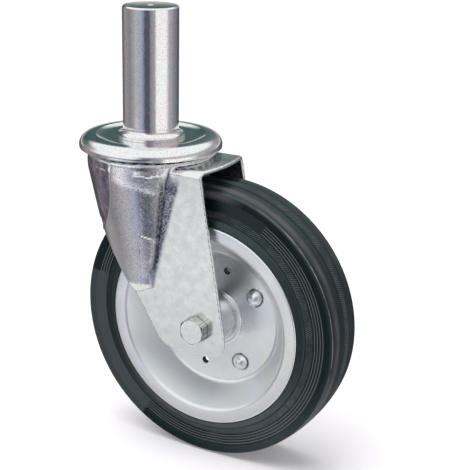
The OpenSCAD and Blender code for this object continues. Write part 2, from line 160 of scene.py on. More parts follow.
# Materials
class NodeBench:
    # adds nodes to one tree and joins them
    def __init__(self, tree):
        self.tree = tree

    def link(self, source, target):
        self.tree.links.new(source, target)

    def feed(self, value, socket):
        if isinstance(value, bpy.types.NodeSocket):
            self.link(value, socket)
        else:
            socket.default_value = value

    def add(self, kind, *feeds):
        # a new node, with a value or a source for each of its first sockets
        node = self.tree.nodes.new("ShaderNode" + kind)
        for value, socket in zip(feeds, node.inputs):
            self.feed(value, socket)
        return node

    def math(self, operation, a, b=0.0, c=0.0, clamp=False):
        maths = self.add("Math", a, b, c)
        maths.operation = operation
        maths.use_clamp = clamp
        return maths.outputs[0]

    def product(self, first, *others):
        for other in others:
            first = self.math("MULTIPLY", first, other)
        return first

    def rise(self, value, edge, gain):
        # 0 up to the edge and then up to 1; a negative gain turns it round
        return self.math("MULTIPLY_ADD", value, gain, -edge * gain, True)

    def window(self, value, low, high, soft):
        # 1 between low and high, with soft sides
        return self.product(self.rise(value, low, 1 / soft), self.rise(value, high, -1 / soft))

    def over(self, a, b, gain):
        # 1 where a lies above b, with a soft edge
        return self.math("MULTIPLY_ADD", self.math("SUBTRACT", a, b), gain, 0.5, True)

    def mix(self, factor, a, b, blend="MIX"):
        mixer = self.add("Mix")
        mixer.data_type = "RGBA"
        mixer.blend_type = blend
        for value, socket in ((factor, mixer.inputs["Factor"]), (a, mixer.inputs[6]), (b, mixer.inputs[7])):
            self.feed(value, socket)
        return mixer.outputs[2]

    def ramp(self, source, stops):
        ramp = self.add("ValToRGB", source)
        ramp.color_ramp.interpolation = "EASE"
        elements = ramp.color_ramp.elements
        while len(elements) < len(stops):
            elements.new(0.5)
        for element, (place, colour) in zip(elements, stops):
            element.position = place
            element.color = (*colour, 1) if isinstance(colour, tuple) else (colour, colour, colour, 1)
        return ramp.outputs["Color"]


class Shader(NodeBench):
    def __init__(self, name, metallic=0.0):
        self.material = bpy.data.materials.new(name)
        self.material.use_nodes = True
        super().__init__(self.material.node_tree)
        self.surface = self.tree.nodes["Principled BSDF"]
        self.surface.inputs["Metallic"].default_value = metallic
        self.coords = self.add("TexCoord").outputs["Object"]

    def put(self, name, value):
        self.feed(value, self.surface.inputs[name])

    def noise(self, scale, detail=3, roughness=0.6, stretch=None):
        source = self.coords
        if stretch:
            mapping = self.add("Mapping", self.coords)
            mapping.inputs["Scale"].default_value = stretch
            source = mapping.outputs["Vector"]
        texture = self.add("TexNoise", source)
        for name, value in (("Scale", scale), ("Detail", detail), ("Roughness", roughness)):
            texture.inputs[name].default_value = value
        return texture.outputs["Fac"]

    def tones(self, scale, stops, detail=3, roughness=0.6, stretch=None):
        # a noise turned into colours or values
        return self.ramp(self.noise(scale, detail, roughness, stretch), stops)

    def axes(self):
        return self.add("SeparateXYZ", self.coords).outputs

    def roundAxle(self):
        # distance from the wheel's axle, in metres, and bearing round it
        x, _, z = self.axes()
        dx = self.math("SUBTRACT", x, axleX * mm)
        dz = self.math("SUBTRACT", z, axleZ * mm)
        squares = self.math("ADD", self.product(dx, dx), self.product(dz, dz))
        return self.math("POWER", squares, 0.5), self.math("ARCTAN2", dz, dx)

    def bump(self, height, distance, strength=1.0, before=None):
        bump = self.add("Bump")
        bump.inputs["Distance"].default_value = distance
        self.feed(strength, bump.inputs["Strength"])
        self.link(height, bump.inputs["Height"])
        if before:
            self.link(before, bump.inputs["Normal"])
        return bump.outputs["Normal"]


zincTints = {"base": (0.92, 0.93, 0.94), "blue": (0.86, 0.90, 0.96), "rose": (0.94, 0.89, 0.91),
             "green": (0.89, 0.93, 0.91), "patch": 38.0}


def zincColour(look, speckle):
    # bright zinc: faint blue, rose and green tints in patches, with fine darker specks
    colour = look.tones(zincTints["patch"], [(0.30, zincTints["blue"]), (0.45, zincTints["base"]),
                                             (0.58, zincTints["rose"]), (0.70, zincTints["green"])], 4)
    specks = look.tones(1500, [(0.36, 1 - speckle), (0.52, 1.0)], 2)
    return look.mix(1.0, colour, specks, "MULTIPLY")


def turnedZinc():
    # stem and collar: turned bar, with faint rings and small handling marks
    look = Shader("turnedZinc", 1.0)
    look.put("Base Color", zincColour(look, 0.26))
    look.put("Roughness", look.tones(240, [(0.35, 0.04), (0.70, 0.14)], 4, 0.7))
    rings = look.bump(look.noise(420, stretch=(0.35, 0.35, 6.0)), 0.00003, 0.4)
    grain = look.noise(760, 2, stretch=(1.0, 1.0, 0.5))
    look.put("Normal", look.bump(grain, 0.00006, 0.5, rings))
    return look.material


# Where the ramp between bulge and leg starts and ends: x at a height, and its slope
rampSize = {"frontX": 28.3, "frontZ": -42.9, "frontSlope": 0.12, "backX": 39.4, "backZ": -41.2,
            "backSlope": 0.273, "topX": 35.5, "topZ": -26.9, "topSlope": -0.55}
# Where the fork's tints and its painted shade and highlights lie: heights in millimetres, and bearings from
# the front of the cup in radians
forkTintsAndShade = {"drawnEnd": -115.5, "rampShadeTop": -24.0, "rampShadeStart": 0.2, "reflectionTop": -16.5, "reflectionEdge": 1.452,
             "reflectionCurl": -0.62, "highlightTop": -52.0, "highlightEdge": 1.36, "highlightZ": -54.9, "highlightSlope": -7.7,
             "seamGlintWidth": (-0.022, 0.004), "seamGlintZ": (-84.0, -18.5)}


def pressedZinc():
    # fork: flat satin legs, and an orange peel where the cup and its bulges were drawn; painted shade on the
    # ramp, a painted dark reflection on the cup's front, and painted highlights on the lower left and along
    # the seam
    g = rampSize
    t = forkTintsAndShade
    look = Shader("pressedZinc", 1.0)
    x, y, z = look.axes()
    bearing = look.math("ARCTAN2", look.math("ABSOLUTE", y), look.math("MULTIPLY", x, -1.0))
    backX = (g["backX"] - g["backSlope"] * g["backZ"]) * mm
    frontX = (g["frontX"] + t["rampShadeStart"] - g["frontSlope"] * g["frontZ"]) * mm
    rampBack = look.math("MULTIPLY_ADD", z, g["backSlope"], backX)
    rampFront = look.math("MULTIPLY_ADD", z, g["frontSlope"], frontX)
    drawn = look.product(look.over(rampBack, x, 420.0), look.rise(z, t["drawnEnd"] * mm, 130.0))
    plain = look.tones(26, [(0.3, (0.86, 0.885, 0.875)), (0.7, (0.90, 0.91, 0.90))], 4)
    peelTint = look.mix(1.0, zincColour(look, 0.42), (0.98, 0.97, 1.0, 1), "MULTIPLY")
    # painted shade on the ramp between bulge and leg, and a painted mottled dark reflection on the front of
    # the cup
    ramp = look.product(look.over(x, rampFront, 600.0), drawn, look.rise(z, t["rampShadeTop"] * mm, -120.0))
    curl = look.math("POWER", look.math("MULTIPLY", z, -13.0), 5.0)
    seam = look.math("MULTIPLY_ADD", curl, t["reflectionCurl"], t["reflectionEdge"])
    front = look.product(look.over(seam, bearing, 30.0), look.rise(z, t["reflectionTop"] * mm, -300.0))
    mottledReflection = look.tones(170, [(0.34, (0.12, 0.11, 0.16)), (0.46, (0.40, 0.34, 0.40)),
                              (0.56, (0.46, 0.46, 0.60)), (0.68, (0.95, 0.92, 0.95))],
                          5, 0.7, (1.0, 1.0, 0.5))
    rampShade = look.tones(600, [(0.36, (0.10, 0.10, 0.13)), (0.66, (0.46, 0.46, 0.52))], 3, 0.7)
    # the lower left of the bulge is smooth, with a painted pale highlight
    highlightStart = t["highlightEdge"] - t["highlightSlope"] * t["highlightZ"] * mm
    highlightEdge = look.math("MULTIPLY_ADD", z, t["highlightSlope"], highlightStart)
    smoothPaleHighlight = look.product(look.over(highlightEdge, bearing, 9.0), look.rise(z, t["highlightTop"] * mm, -60.0))
    speckled = look.product(drawn, look.math("SUBTRACT", 1.0, smoothPaleHighlight))
    paintedHighlight = look.tones(40, [(0.3, (0.98, 0.98, 0.94)), (0.7, (0.92, 0.95, 0.98))], 4)
    colour = look.mix(drawn, plain, peelTint)
    colour = look.mix(look.product(smoothPaleHighlight, drawn), colour, paintedHighlight)
    colour = look.mix(ramp, colour, rampShade)
    colour = look.mix(front, colour, mottledReflection)
    # painted highlight: a pale glint line along the seam
    seamGlint = look.window(look.math("SUBTRACT", seam, bearing), *t["seamGlintWidth"], 0.008)
    seamGlint = look.product(seamGlint, look.window(z, t["seamGlintZ"][0] * mm, t["seamGlintZ"][1] * mm, 0.004))
    look.put("Base Color", look.mix(seamGlint, colour, (1.0, 0.98, 0.95, 1)))
    flatRough = look.tones(160, [(0.3, 0.20), (0.7, 0.28)], 4)
    drawnRough = look.tones(500, [(0.3, 0.08), (0.7, 0.20)])
    look.put("Roughness", look.mix(drawn, flatRough, drawnRough))
    waves = look.bump(look.noise(95, 2, 0.5, (1.0, 1.0, 0.45)), 0.0006, look.product(speckled, 0.5))
    peel = look.noise(700, stretch=(1.0, 1.0, 0.6))
    look.put("Normal", look.bump(peel, 0.00014, look.math("MULTIPLY_ADD", speckled, 0.75, 0.03), waves))
    return look.material


def discZinc():
    # wheel discs: satin zinc with a cloudy tint, duller in the cone
    look = Shader("discZinc", 0.95)
    cloud = look.tones(22, [(0.32, (0.85, 0.90, 0.95)), (0.5, (0.90, 0.92, 0.94)),
                            (0.68, (0.94, 0.93, 0.90))], 4, 0.55)
    specks = look.tones(1300, [(0.35, 0.97), (0.5, 1.0)], 2)
    look.put("Base Color", look.mix(1.0, cloud, specks, "MULTIPLY"))
    rough = look.tones(60, [(0.3, 0.26), (0.7, 0.31)], 3, 0.5)
    cone = look.window(look.roundAxle()[0], 0.0495, 0.0665, 0.002)
    look.put("Roughness", look.mix(cone, rough, (0.44, 0.44, 0.44, 1)))
    look.put("Normal", look.bump(look.noise(300, 2, 0.5), 0.00003, 0.2))
    return look.material


# Where the axle bolt's head gets painted reflections and shade, by y in metres
headShadeBands = {"flankReflection": (-0.0374, -0.0300), "foot": (-0.0311, -0.0300), "browShade": (-0.03800, -0.03745)}


def fastenerZinc():
    # bolts and nuts, with painted reflection streaks on the head's flanks, painted shade round the head's
    # face and a painted shadow round its foot
    look = Shader("fastenerZinc", 1.0)
    y = look.axes()[1]
    tone = look.tones(160, [(0.3, (0.84, 0.86, 0.87)), (0.7, (0.90, 0.90, 0.89))], 4)
    # painted reflection: dark and light vertical streaks on the head's flanks
    reflectionStreaks = look.tones(900, [(0.38, (0.22, 0.21, 0.20)), (0.50, (0.50, 0.50, 0.48)),
                               (0.64, (0.78, 0.78, 0.76))], 3, 0.7, (1.0, 0.06, 1.0))
    tone = look.mix(look.window(y, *headShadeBands["flankReflection"], 0.0004), tone, reflectionStreaks)
    # painted shadow where the head's foot meets the leg, and painted shade round the chamfer of its face
    tone = look.mix(look.window(y, *headShadeBands["foot"], 0.0003), tone, (0.16, 0.16, 0.17, 1))
    tone = look.mix(look.window(y, *headShadeBands["browShade"], 0.0001), tone, (0.42, 0.42, 0.44, 1))
    look.put("Base Color", tone)
    look.put("Roughness", look.tones(420, [(0.3, 0.14), (0.7, 0.26)], 4))
    look.put("Normal", look.bump(look.noise(1100), 0.00004, 0.4))
    return look.material


def shadedSteel():
    # painted shade: a near-black finish for the walls of small holes and seams, where shade falls
    look = Shader("shadedSteel", 0.8)
    look.put("Base Color", look.tones(300, [(0.3, (0.030, 0.035, 0.038)), (0.7, (0.075, 0.080, 0.085))]))
    look.put("Roughness", 0.45)
    return look.material


def groundSteel():
    # balls, rollers, races and sleeve, wet with oil
    look = Shader("groundSteel", 1.0)
    look.put("Base Color", look.tones(120, [(0.3, (0.42, 0.42, 0.42)), (0.7, (0.60, 0.60, 0.61))]))
    look.put("Roughness", look.tones(300, [(0.3, 0.16), (0.7, 0.32)]))
    return look.material


def mouldedNylon():
    look = Shader("mouldedNylon")
    look.put("Base Color", look.tones(90, [(0.3, (0.78, 0.77, 0.71)), (0.7, (0.86, 0.85, 0.80))]))
    look.put("Roughness", 0.45)
    look.put("Normal", look.bump(look.noise(900), 0.00005, 0.4))
    return look.material


# Marks and painted sheen on the rubber, in millimetres. Bearings of the panels and the top sheen are in
# degrees, others in radians
rubberSize = {"knurlR": (80.9, 85.7), "knurlTurn": (-1.1, 2.35), "teeth": 340, "toothSlant": 2.8,
              "ribR": (85.9, 94.2), "firstRib": 86.9, "pitch": 2.1, "leftPanel": (165.5, -122),
              "topPanel": (60, 120), "outerR": 102.0, "treadR": 98.3, "sheenY": (-15.5, -7.5),
              "topSheen": (72, 104), "topSheenR": (93.5, 100.5), "hatchY": (-0.2, 6.5),
              "hatchTeeth": 400, "hatchSlant": 1.6, "cornerGlintY": (-18.6, -17.2),
              "cornerGlintTurn": (-0.45, 1.35), "lowTurn": (-1.7, -0.15)}


def mouldedRubber():
    # black rubber with a faint green-blue sheen and a slanted knurl on its sides, with painted light: a mauve
    # sheen on the tread and top shoulder, a lighter sheen low and to the left, and highlights on rib crests,
    # knurl teeth and the shoulder corner
    k = rubberSize
    turn = math.radians
    look = Shader("mouldedRubber")
    reach, bearing = look.roundAxle()
    radius = look.product(reach, 1000.0)
    width = look.product(look.axes()[1], 1000.0)
    onSide = look.rise(look.math("ABSOLUTE", width), 15.0, 2.0)
    tread = look.rise(radius, k["treadR"], 1.0)

    # ribs, and the bare panels between them
    ribZone = look.product(look.window(radius, *k["ribR"], 0.3), onSide)
    leftPanel = look.math("ADD", look.window(bearing, turn(k["leftPanel"][0]), 4.0, 0.01),
                          look.window(bearing, -4.0, turn(k["leftPanel"][1]), 0.01), clamp=True)
    topPanel = look.window(bearing, turn(k["topPanel"][0]), turn(k["topPanel"][1]), 0.01)
    panels = look.product(look.math("ADD", leftPanel, topPanel, clamp=True), ribZone)
    ribPhase = look.product(look.math("SUBTRACT", radius, k["firstRib"]), 2 * math.pi / k["pitch"])
    # painted highlight: the rib crests are painted lighter
    crestHighlight = look.math("MULTIPLY_ADD", look.math("COSINE", ribPhase), 2.6, -1.6, True)
    crestHighlight = look.product(crestHighlight, ribZone, look.math("SUBTRACT", 1.0, panels, clamp=True))

    # knurl on the sides and hatch on the tread, their teeth painted lighter as highlights, patchy in places
    slant = look.math("MULTIPLY_ADD", bearing, k["teeth"], look.product(radius, k["toothSlant"]))
    knurlZone = look.product(look.window(radius, *k["knurlR"], 0.4), onSide,
                             look.window(bearing, *k["knurlTurn"], 0.35))
    knurl = look.product(look.math("MULTIPLY_ADD", look.math("SINE", slant), 0.5, 0.5), knurlZone)
    slant = look.math("MULTIPLY_ADD", bearing, k["hatchTeeth"], look.product(width, k["hatchSlant"]))
    hatchZone = look.product(look.window(width, *k["hatchY"], 0.4), tread)
    hatch = look.product(look.math("MULTIPLY_ADD", look.math("SINE", slant), 0.5, 0.5), hatchZone)
    marks = look.math("ADD", knurl, hatch)
    highlightPatches = look.tones(130, [(0.36, 0.25), (0.62, 1.0)], 3, 0.7)
    tickHighlight = look.product(look.math("MULTIPLY_ADD", marks, 2.0, -1.0, True), highlightPatches)

    # painted sheen: a mauve band on the near half of the tread, in streaks
    reflectionStreaks = look.tones(55, [(0.30, 0.35), (0.66, 1.0)], 4, 0.65, (1.0, 3.0, 1.0))
    paintedSheen = look.product(look.window(width, *k["sheenY"], 3.0), tread, reflectionStreaks)
    # painted sheen: a mauve patch on the side near the top of the tyre
    topSheen = look.product(look.window(bearing, turn(k["topSheen"][0]), turn(k["topSheen"][1]), 0.15),
                           look.window(radius, *k["topSheenR"], 1.5), onSide)
    # painted highlight: a thin light line along the shoulder corner
    cornerGlint = look.product(look.window(width, *k["cornerGlintY"], 0.5),
                              look.window(bearing, *k["cornerGlintTurn"], 0.45), tread, highlightPatches)
    # painted sheen: the left panel's outer band and the lower side are painted lighter
    leftSheen = look.product(look.window(radius, k["ribR"][0], k["outerR"], 0.3), leftPanel, onSide)
    lowSheen = look.product(look.window(bearing, *k["lowTurn"], 0.7), onSide, 0.6)

    colour = look.tones(30, [(0.32, (0.0020, 0.0090, 0.0110)), (0.60, (0.0040, 0.0120, 0.0140)),
                             (0.80, (0.0100, 0.0150, 0.0180))], 5)
    colour = look.mix(crestHighlight, colour, (0.150, 0.160, 0.165, 1))
    colour = look.mix(tickHighlight, colour, (0.105, 0.115, 0.120, 1))
    colour = look.mix(leftSheen, colour, (0.042, 0.049, 0.056, 1))
    colour = look.mix(topSheen, colour, (0.075, 0.070, 0.085, 1))
    colour = look.mix(lowSheen, colour, (0.050, 0.058, 0.064, 1), "ADD")
    colour = look.mix(paintedSheen, colour, (0.075, 0.072, 0.085, 1))
    look.put("Base Color", look.mix(cornerGlint, colour, (0.26, 0.26, 0.28, 1)))
    # the outer band of each side is duller than the rest
    look.put("Specular IOR Level", look.ramp(look.product(radius, 0.01), [
        (0.800, 0.75), (0.810, 0.46), (0.940, 0.40), (0.955, 0.16), (0.985, 0.16), (1.0, 0.46)]))
    look.put("Specular Tint", (0.80, 0.97, 1.0, 1))
    look.put("Roughness", look.tones(110, [(0.3, 0.30), (0.7, 0.44)], 4, 0.65))
    normal = look.bump(look.noise(60, 2, 0.5), 0.0003, 0.25)
    normal = look.bump(marks, 0.0004, 0.8, normal)
    look.put("Normal", look.bump(look.noise(2200), 0.00005, 0.5, normal))
    return look.material


stemZinc = turnedZinc()
forkZinc = pressedZinc()
wheelZinc = discZinc()
boltZinc = fastenerZinc()
raceSteel = groundSteel()
holeShadeSteel = shadedSteel()
nylon = mouldedNylon()
rubber = mouldedRubber()
print("materials made")


# Stem with its foot and kingpin
stemSize = {"r": 20.0, "top": 91.0, "chamfer": 1.0, "footR": 24.5, "footEdge": 0.4, "seatDrop": 4.9,
            "foot": -1.7, "footBevel": 0.2, "markR": 2.5, "kingpinR": 10.0, "threadR": 8.0,
            "threadDepth": 0.9, "lead": 0.8, "plain": 1.5, "shoulder": -16.7, "end": -32.4, "pitch": 2.0}


def makeStem():
    s = stemSize
    outline = [(0, s["end"]), (s["threadR"] - 1, s["end"]), (s["threadR"] - 0.35, s["end"] + s["lead"])]
    turns = int((s["shoulder"] - s["end"] - s["plain"]) / s["pitch"] * 2)
    for i in range(1, turns):
        outline.append((s["threadR"] - (s["threadDepth"] if i % 2 else 0.0),
                        s["end"] + s["lead"] + i * s["pitch"] / 2))
    outline += [(s["threadR"], s["shoulder"]), (s["kingpinR"], s["shoulder"]), (s["kingpinR"], s["foot"]),
                (s["footR"] - s["footBevel"], s["foot"]), (s["footR"], s["foot"] + s["footBevel"])]
    outline += arc(s["footR"], s["seatDrop"], s["seatDrop"] - s["footEdge"], -90, -180, 10)
    outline += rounded([(s["r"], s["seatDrop"] + 1, 0), (s["r"], s["top"] - s["chamfer"], 0.5),
                        (s["r"] - s["chamfer"], s["top"], 0.4), (s["markR"], s["top"], 0),
                        (0, s["top"] - s["markR"], 0)], closed=False)
    finishPiece("stemBar", spunOnStem(outline, 160, closed=False), stemZinc, "head", ["stem"], 40)


# Collar: a cap whose rim is rolled down round the balls
collarSize = {"r": 51.5, "rollR": 7.2, "domeR": 40.0, "dome": 8.4, "low": -9.0, "innerR": 46.5, "lip": 0.3,
              "grooveR": 4.3, "grooveStart": -5.0, "ballR0": 42.6, "ballZ": -7.6, "under": -3.3,
              "recessR": 39.35, "step": (0.25, 0.12), "dishBend": 8.0, "dishSlope": 23.0, "bore": 10.05}


def makeCollar():
    c = collarSize
    tilt = math.radians(c["dome"])
    rollX = c["recessR"] + (c["domeR"] - c["rollR"]) * math.sin(tilt)
    rollZ = (c["domeR"] - c["rollR"]) * math.cos(tilt) - c["domeR"]
    reach = c["r"] - rollX - c["rollR"]
    endAngle = math.degrees(math.asin((c["low"] - rollZ) / c["rollR"]))
    roll = [(x + reach * max(0.0, (x - rollX) / c["rollR"]) ** 2, z)
            for x, z in arc(rollX, rollZ, c["rollR"], endAngle, 90 - c["dome"], 28)]
    domed = arc(c["recessR"], -c["domeR"], c["domeR"], 90 - c["dome"], 90, 8)[1:-1]
    bend = c["dishBend"] / math.sin(math.radians(c["dishSlope"]))
    dishX = c["recessR"] - c["step"][0] - c["dishBend"]
    dishZ = bend * math.cos(math.radians(c["dishSlope"])) - c["step"][1]
    dish = arc(dishX, dishZ, bend, c["dishSlope"] - 90, -90, 12)[1:]
    groove = arc(c["ballR0"], c["ballZ"], c["grooveR"], c["grooveStart"], 90, 14)
    outline = [(c["innerR"] + c["lip"], c["low"])] + roll + domed + [(c["recessR"], 0.0)] + dish
    outline += [(c["bore"], dish[-1][1]), (c["bore"], c["under"])] + groove[::-1]
    finishPiece("collarCap", spunOnStem(outline, 192), stemZinc, "head", ["collar"], 7)


# Fork: the CAD sheet, drawn smooth as a press leaves it
forkSize = {"voxel": 0.82, "edgePasses": 3, "blendPasses": 10, "skinPasses": 36, "cupR": 45.8, "endR": 33.6,
            "end": -108.9, "lean": 6.5, "crownZ": -19.0, "shoulderZ": -15.5, "shoulderR": 4.2, "soft": 1.3,
            "skinX": 27.0, "skinTop": -21.0, "rampX": (14.0, 46.0), "rampY": 22.0, "flatGap": 0.11}
# The raised seam where the side of the bulge meets the front of the cup
seamSize = {"high": 0.55, "wide": 0.8, "sink": 0.5, "sinkWide": 3.5, "backX": 20.0, "top": -17.0}
# its bearing in degrees at a height, from the top down
seamPath = [(-15.0, -96.5), (-24.9, -98.0), (-34.9, -100.5), (-44.9, -104.0), (-54.9, -108.5),
            (-64.9, -117.0), (-74.9, -129.0), (-80.0, -136.0)]


def alongPath(path, z):
    if z >= path[0][0]:
        return path[0][1]
    for (z0, a0), (z1, a1) in zip(path, path[1:]):
        if z >= z1:
            return a0 + (a1 - a0) * (z0 - z) / (z0 - z1)
    return path[-1][1]


def softMax(a, b, k):
    h = min(1.0, max(0.0, 0.5 + 0.5 * (a - b) / k))
    return b + (a - b) * h + k * h * (1 - h)


def ease(bm, verts, passes):
    for _ in range(passes):
        bmesh.ops.smooth_vert(bm, verts=verts, factor=0.5, use_axis_x=True, use_axis_y=True, use_axis_z=True)


def forkCone(z):
    # how far up the drawn cone a height is, and the cone's radius and middle there
    f = forkSize
    t = min(1.0, (z - f["end"]) / (f["shoulderZ"] - f["end"]))
    return t, f["endR"] + (f["cupR"] - f["endR"]) * t, f["lean"] * (1 - t)


def evenFork():
    # the CAD sheet in small even faces
    bm = bmesh.new()
    bm.from_mesh(nodes["fork"].data)
    bmesh.ops.remove_doubles(bm, verts=bm.verts, dist=1e-6)
    source = placed("forkSource", bm)
    remesh = source.modifiers.new("remesh", "REMESH")
    remesh.mode = "VOXEL"
    remesh.voxel_size = forkSize["voxel"] * mm
    remesh.adaptivity = 0.0
    bm = bmesh.new()
    bm.from_mesh(bakedMesh(source))
    bpy.data.objects.remove(source)
    return bm


def drawnSkin(bm):
    # points of the drawn cone's two faces, without the sheet's edges
    f = forkSize
    skin = []
    for vert in bm.verts:
        x, y, z = vert.co / mm
        t, _, coneX = forkCone(z)
        out = Vector((x - coneX, y, 0)).normalized()
        if 0.03 < t and z < f["skinTop"] and x < f["skinX"] and abs(vert.normal.dot(out)) > 0.94:
            skin.append(vert)
    return skin


def roundShoulder(vert, x, y, z):
    # the drawn shoulder of the cup
    f = forkSize
    outR = math.hypot(x, y) - (f["cupR"] - f["shoulderR"])
    outZ = z - (f["shoulderZ"] - f["shoulderR"])
    if x < 38 and outR > 0 and outZ > 0 and math.hypot(outR, outZ) > f["shoulderR"]:
        pull = (1 - f["shoulderR"] / math.hypot(outR, outZ)) * smoothStep(38, 30, x)
        out = outR + f["cupR"] - f["shoulderR"]
        vert.co.x -= x / out * outR * pull * mm
        vert.co.y -= y / out * outR * pull * mm
        vert.co.z -= outZ * pull * mm


def raiseRamp(vert, x, y, z):
    # a ramp runs from the bulge to the flat leg; says whether the point lies at one of its ends
    f = forkSize
    g = rampSize
    t, coneR, coneX = forkCone(z)
    fadeLow = smoothStep(-0.03, 0.05, t)
    if abs(y) <= f["rampY"] or not f["rampX"][0] < x < f["rampX"][1] or fadeLow <= 0:
        return False
    frontX = g["frontX"] + g["frontSlope"] * (z - g["frontZ"])
    backX = min(g["backX"] + g["backSlope"] * (z - g["backZ"]), g["topX"] + g["topSlope"] * (z - g["topZ"]))
    best = None
    for skin, face in ((0, legFace), (sheet, legFace - sheet)):
        room = (coneR - skin) ** 2 - (x - coneX) ** 2
        cone = math.sqrt(room) if room > 0 else -math.sqrt(-room)
        startY = math.sqrt(max(0.0, (coneR - skin) ** 2 - (frontX - coneX) ** 2))
        slope = max(0.0, (startY - face) / max(0.6, backX - frontX))
        ramp = face + slope * (backX - x) if x > frontX - 2 else -50.0
        raised = softMax(softMax(cone, ramp, f["soft"]), face, f["soft"])
        gap = abs(abs(y) - max(cone, face))
        if best is None or gap < best[0]:
            best = (gap, raised - abs(y))
    if best[0] < 1.0:
        vert.co.y += math.copysign(best[1] * fadeLow * smoothStep(-20.5, -24, z) * mm, y)
    crease = coneX + math.sqrt(max(0.0, coneR ** 2 - legFace ** 2))
    return abs(x - crease) < 2.5 or abs(x - backX) < 1.5


def raiseSeam(vert, x, y, z):
    s = seamSize
    _, coneR, coneX = forkCone(z)
    spoke = math.hypot(x - coneX, y)
    if abs(spoke - coneR) < 1.2 and x < s["backX"] and z < s["top"]:
        angle = -math.degrees(math.atan2(abs(y), x))
        off = math.radians(angle - alongPath(seamPath, z)) * coneR
        lift = s["high"] * math.exp(-(off / s["wide"]) ** 2)
        lift -= s["sink"] * smoothStep(0, -s["sinkWide"], off) * smoothStep(-17, -24, z)
        lift *= smoothStep(-17, -22, z)
        vert.co.x += (x - coneX) / spoke * lift * mm
        vert.co.y += y / spoke * lift * mm


def makeFork():
    f = forkSize
    bm = evenFork()
    ease(bm, bm.verts, f["edgePasses"])
    bm.normal_update()
    ease(bm, drawnSkin(bm), f["skinPasses"])
    rampEnds = []
    for vert in bm.verts:
        x, y, z = vert.co / mm
        roundShoulder(vert, x, y, z)
        if forkCone(z)[0] < -0.06 or z > f["crownZ"] + 1.5:
            continue
        if raiseRamp(vert, x, y, z):
            rampEnds.append(vert)
        raiseSeam(vert, x, y, z)
    ease(bm, rampEnds, f["blendPasses"])
    # flat faces go back to their true planes, and their inner points go
    spare = []
    for vert in bm.verts:
        x, y, z = vert.co / mm
        for face in (legFace, legFace - sheet):
            if abs(abs(y) - face) < f["flatGap"] and z < f["crownZ"] - 4:
                vert.co.y = math.copysign(face * mm, y)
                spare.append(vert)
    bm.normal_update()
    flat = set(spare)
    spareEdges = [e for v in spare for e in v.link_edges if e.other_vert(v) in flat]
    bmesh.ops.dissolve_limit(bm, angle_limit=math.radians(0.4), verts=spare,
                             edges=list(dict.fromkeys(spareEdges)), use_dissolve_boundaries=False)
    bm.normal_update()
    print("fork faces", len(bm.faces), "triangles", sum(len(face.verts) - 2 for face in bm.faces))
    piece = finishPiece("forkSheet", bm, forkZinc, "fork", ["fork"], 50, recalc=False)
    weigh = piece.modifiers.new("broadFaces", "WEIGHTED_NORMAL")
    weigh.mode = "FACE_AREA"
    weigh.keep_sharp = True


# Wheel discs, turned round the hub
discSize = {"hubR": 17.55, "sheet": 2.4, "neckH": 5.4, "flatR": 50.9, "lipR": 65.0, "rimR": 74.9,
            "coneShift": 1.95, "back": 0.02, "lipY": 23.5, "ventR": 2.7, "ventCircle": 37.7,
            "ventAngle": 77.0, "vents": 2}


def discOutline(side):
    d = discSize
    inside = d["lipY"] - d["sheet"]
    neckR = d["hubR"] + d["sheet"]
    outer = [(d["hubR"], d["back"], 0), (d["flatR"] + d["coneShift"], d["back"], 5),
             (d["lipR"] + d["coneShift"], inside, 2.0), (d["rimR"], inside, 0.4), (d["rimR"], d["lipY"], 1.1),
             (d["lipR"], d["lipY"], 4.0), (d["flatR"], d["sheet"], 5.0), (neckR, d["sheet"], 2.6),
             (neckR, d["neckH"], 1.1), (d["hubR"], d["neckH"], 0.3)]
    return [(r, side * y) for r, y in rounded(outer, arcSteps=10)]


def makeDisc(name, node, side):
    d = discSize
    bm = spunOnAxle(discOutline(side), 192)
    bmesh.ops.recalc_face_normals(bm, faces=bm.faces)
    blank = placed(name + "Blank", bm)
    drills = bmesh.new()
    vents = ringPlaces(d["ventCircle"], d["ventAngle"], d["vents"])
    for place in vents:
        turn = Matrix.Translation(place) @ Matrix.Rotation(math.radians(90), 4, "X")
        bmesh.ops.create_cone(drills, cap_ends=True, segments=40, radius1=d["ventR"] * mm,
                              radius2=d["ventR"] * mm, depth=10 * mm, matrix=turn)
    drill = placed(name + "Drill", drills)
    cut = blank.modifiers.new("vents", "BOOLEAN")
    cut.operation = "DIFFERENCE"
    cut.solver = "EXACT"
    cut.object = drill
    bm = bmesh.new()
    bm.from_mesh(bakedMesh(blank))
    bpy.data.objects.remove(blank)
    bpy.data.objects.remove(drill)
    piece = finishPiece(name, bm, wheelZinc, "wheel", [node], 35, recalc=False)
    # painted shade: the vent walls get the near-black finish
    piece.data.materials.append(holeShadeSteel)
    for face in piece.data.polygons:
        for place in vents:
            off = math.hypot(face.center.x - place.x, face.center.z - place.z) / mm
            if off < d["ventR"] + 0.2 and abs(face.normal.y) < 0.5:
                face.material_index = 1


# Rivets, with a flat collar pressed into the disc round each domed head
rivetSize = {"circle": 37.7, "first": 33.5, "count": 4, "headR": 6.9, "headH": 4.2, "discT": 2.4,
             "domeShare": 0.88, "foot": ((1.0, 0.0), (1.0, 0.45), (0.90, 0.10))}


